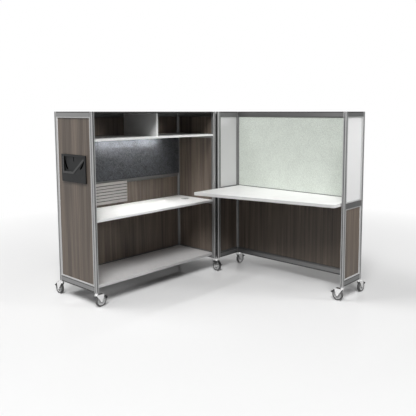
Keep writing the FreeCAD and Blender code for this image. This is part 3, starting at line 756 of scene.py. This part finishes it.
# Points of each: how far from the pocket's back end, how high above its foot, and half the width there
back_shadow = [(0.046, 0.196, 0.001), (0.047, 0.180, 0.007), (0.052, 0.155, 0.011), (0.064, 0.128, 0.010),
            (0.080, 0.112, 0.008), (0.088, 0.106, 0.002)]
front_shadow = [(0.343, 0.192, 0.001), (0.336, 0.176, 0.006), (0.322, 0.156, 0.010), (0.304, 0.136, 0.010),
             (0.290, 0.124, 0.007), (0.284, 0.118, 0.002)]
slot_shadow = [(0.1755, 0.226, 0.0046), (0.1755, 0.178, 0.0046)]
# Painted shadows: near-black sheets on the back plate, on the front, and behind the slot.
pocket_shadows = [(high.x - sheet_thickness, back_shadow), (low.x, front_shadow), (high.x - shadow_thickness, slot_shadow)]
mesh = bmesh.new()
for face, line in pocket_shadows:
    rows = []
    for i, (run, rise, half) in enumerate(line):
        before = Vector(line[max(i - 1, 0)][:2])
        after = Vector(line[min(i + 1, len(line) - 1)][:2])
        along = (after - before).normalized()
        sideways = half * Vector((-along.y, along.x))
        row = []
        for proud in (0.0, shadow_thickness):
            for side in (1, -1):
                place = Vector((run, rise)) + side * sideways
                row.append(mesh.verts.new((face - proud, high.y - place.x, low.z + place.y)))
        rows.append(row)
    for first, second in zip(rows, rows[1:]):
        for a, b in ((0, 1), (1, 3), (3, 2), (2, 0)):
            mesh.faces.new((first[a], first[b], second[b], second[a]))
    for row in (rows[0], rows[-1]):
        mesh.faces.new((row[0], row[1], row[3], row[2]))
add_piece("pocket_painted_shadows", mesh, "painted_pocket_shadow", "storage_half")


# Floor, world, lamps and cards, which aren't part of the object
def plain_sheet(name, corners):
    """A flat four-cornered sheet that isn't part of the object."""
    mesh = bpy.data.meshes.new(name)
    mesh.from_pydata(corners, [], [(0, 1, 2, 3)])
    sheet = bpy.data.objects.new(name, mesh)
    scene.collection.objects.link(sheet)
    return sheet


def floor_material():
    """Pale where it is seen, darker for bounced light, a little glossy near the object, white far away."""
    look = Look("floor")
    paths = look.add("ShaderNodeLightPath").outputs
    seen = look.math("MAXIMUM", paths["Is Camera Ray"], paths["Is Glossy Ray"])
    seen = look.math("MAXIMUM", seen, paths["Is Transmission Ray"])
    length = look.add("ShaderNodeVectorMath", {"Vector": look.coordinates}, operation="LENGTH")
    away = length.outputs["Value"]
    matt = look.add("ShaderNodeBsdfDiffuse", {"Color": look.mix(seen, grey(0.15), grey(0.81))})
    gloss = look.add("ShaderNodeBsdfGlossy", {"Color": grey(1.0), "Roughness": 0.03})
    slant = look.add("ShaderNodeLayerWeight", {"Blend": 0.12}).outputs["Fresnel"]
    gloss_there = look.ramp(away, gloss_fade_start, gloss_fade_end, 1.0, 0.0)
    gloss_share = look.math("MULTIPLY", look.ramp(slant, 0.0, 1.0, 0.0, most_gloss_share), gloss_there)
    near = look.add("ShaderNodeMixShader", {0: gloss_share, 1: matt.outputs[0], 2: gloss.outputs[0]})
    white = look.add("ShaderNodeEmission", {"Color": grey(1.0), "Strength": 1.0})
    white_share = look.math("MULTIPLY", look.ramp(away, white_fade_start, white_fade_end), seen)
    both = look.add("ShaderNodeMixShader", {0: white_share, 1: near.outputs[0], 2: white.outputs[0]})
    look.add("ShaderNodeOutputMaterial", {"Surface": both.outputs[0]})
    return look.material


floor_half = 60
gloss_fade_start = 1.3
gloss_fade_end = 2.4
white_fade_start = 2.0
white_fade_end = 5.0
most_gloss_share = 0.55
floor = plain_sheet("floor", [(-floor_half, -floor_half, 0), (floor_half, -floor_half, 0),
                              (floor_half, floor_half, 0), (-floor_half, floor_half, 0)])
floor.data.materials.append(floor_material())

# World: white where it is seen, and a weak sky as light
world = bpy.data.worlds.new("world")
scene.world = world
world.use_nodes = True
world.node_tree.nodes.clear()


def world_node(kind, *inputs, **settings):
    """Make a world node and feed its first sockets in order."""
    node = world.node_tree.nodes.new(kind)
    for key, value in settings.items():
        setattr(node, key, value)
    for i, value in enumerate(inputs):
        if isinstance(value, bpy.types.NodeSocket):
            world.node_tree.links.new(value, node.inputs[i])
        else:
            node.inputs[i].default_value = value
    return node.outputs


horizon_light = 0.04
zenith_light = 0.25
paths = world_node("ShaderNodeLightPath")
seen = world_node("ShaderNodeMath", paths["Is Camera Ray"], paths["Is Glossy Ray"], operation="MAXIMUM")[0]
seen = world_node("ShaderNodeMath", seen, paths["Is Transmission Ray"], operation="MAXIMUM")[0]
height = world_node("ShaderNodeSeparateXYZ", world_node("ShaderNodeTexCoord")["Generated"])[2]
sky = world_node("ShaderNodeMapRange", height, 0.0, 1.0, horizon_light, zenith_light)[0]
strength = world_node("ShaderNodeMix", seen, (0, 0, 0), sky, 1.0)[0]
background = world_node("ShaderNodeBackground", grey(1.0), strength)
world_node("ShaderNodeOutputWorld", background[0])


# Lamps: a high key from the left, one from behind, two in the task light, two for the right side
def area_lamp(name, place, target, size, power, spread=180):
    """A soft rectangular lamp that neither the camera nor the gloss sees."""
    data = bpy.data.lights.new(name, "AREA")
    data.shape = "RECTANGLE"
    data.size, data.size_y = size
    data.energy = power
    data.spread = math.radians(spread)
    lamp = bpy.data.objects.new(name, data)
    scene.collection.objects.link(lamp)
    lamp.location = place
    lamp.rotation_euler = (Vector(target) - Vector(place)).to_track_quat("-Z", "Y").to_euler()
    lamp.visible_camera = False
    lamp.visible_glossy = False


frame_middle = (0, 0, 0.8)
area_lamp("key_light", (-8.4, -6.8, 14.6), frame_middle, size=(7, 7), power=2400)
area_lamp("side_light", (-4.5, 5.5, 12.0), frame_middle, size=(6, 6), power=700)
low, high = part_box("task_light_lens")
lens_length = high.x - low.x
lamp_drop = 0.012
lamp_place = Vector(((low.x + high.x) / 2, (low.y + high.y) / 2, low.z - lamp_drop))
to_tackboard = Vector((0, 1, -0.35))
to_worktop = Vector((0, -0.25, -1))
area_lamp("task_lamp", lamp_place, lamp_place + to_tackboard, (lens_length, 0.02), power=1.7, spread=110)
area_lamp("down_lamp", lamp_place, lamp_place + to_worktop, (lens_length, 0.03), power=1.4, spread=100)
area_lamp("right_light", (4.2, -7.0, 2.2), (0.4, -1.1, 1.1), size=(2.5, 2.5), power=130)
area_lamp("screen_lamp", (2.6, -5.2, 3.0), (0.75, -1.09, 1.45), size=(0.8, 0.8), power=3.0, spread=28)

# Cards that only the gloss sees: dark ones to the right for the metal, a bright one behind the camera
cards = {
    "dark_card": (0.0, [(-1.0, -8.0, 0), (7.0, -2.6, 0), (7.0, -2.6, 4.5), (-1.0, -8.0, 4.5)]),
    "dark_floor_card": (0.0, [(-0.8, -1.8, 0.01), (6.5, -2.0, 0.01), (6.5, -3.0, 0.01), (-1.0, -8.0, 0.01)]),
    "bright_card": (4.0, [(-7.4, -5.0, 0.4), (-5.4, -7.0, 0.4), (-5.4, -7.0, 4.5), (-7.4, -5.0, 4.5)]),
}
for name, (glow, corners) in cards.items():
    card = plain_sheet(name, corners)
    Look(name).finish(Base_Color=grey(0.02), Roughness=1.0, Emission_Color=grey(glow), Emission_Strength=1.0)
    card.data.materials.append(looks[name])
    for path in ("camera", "diffuse", "transmission", "shadow"):
        setattr(card, "visible_" + path, False)
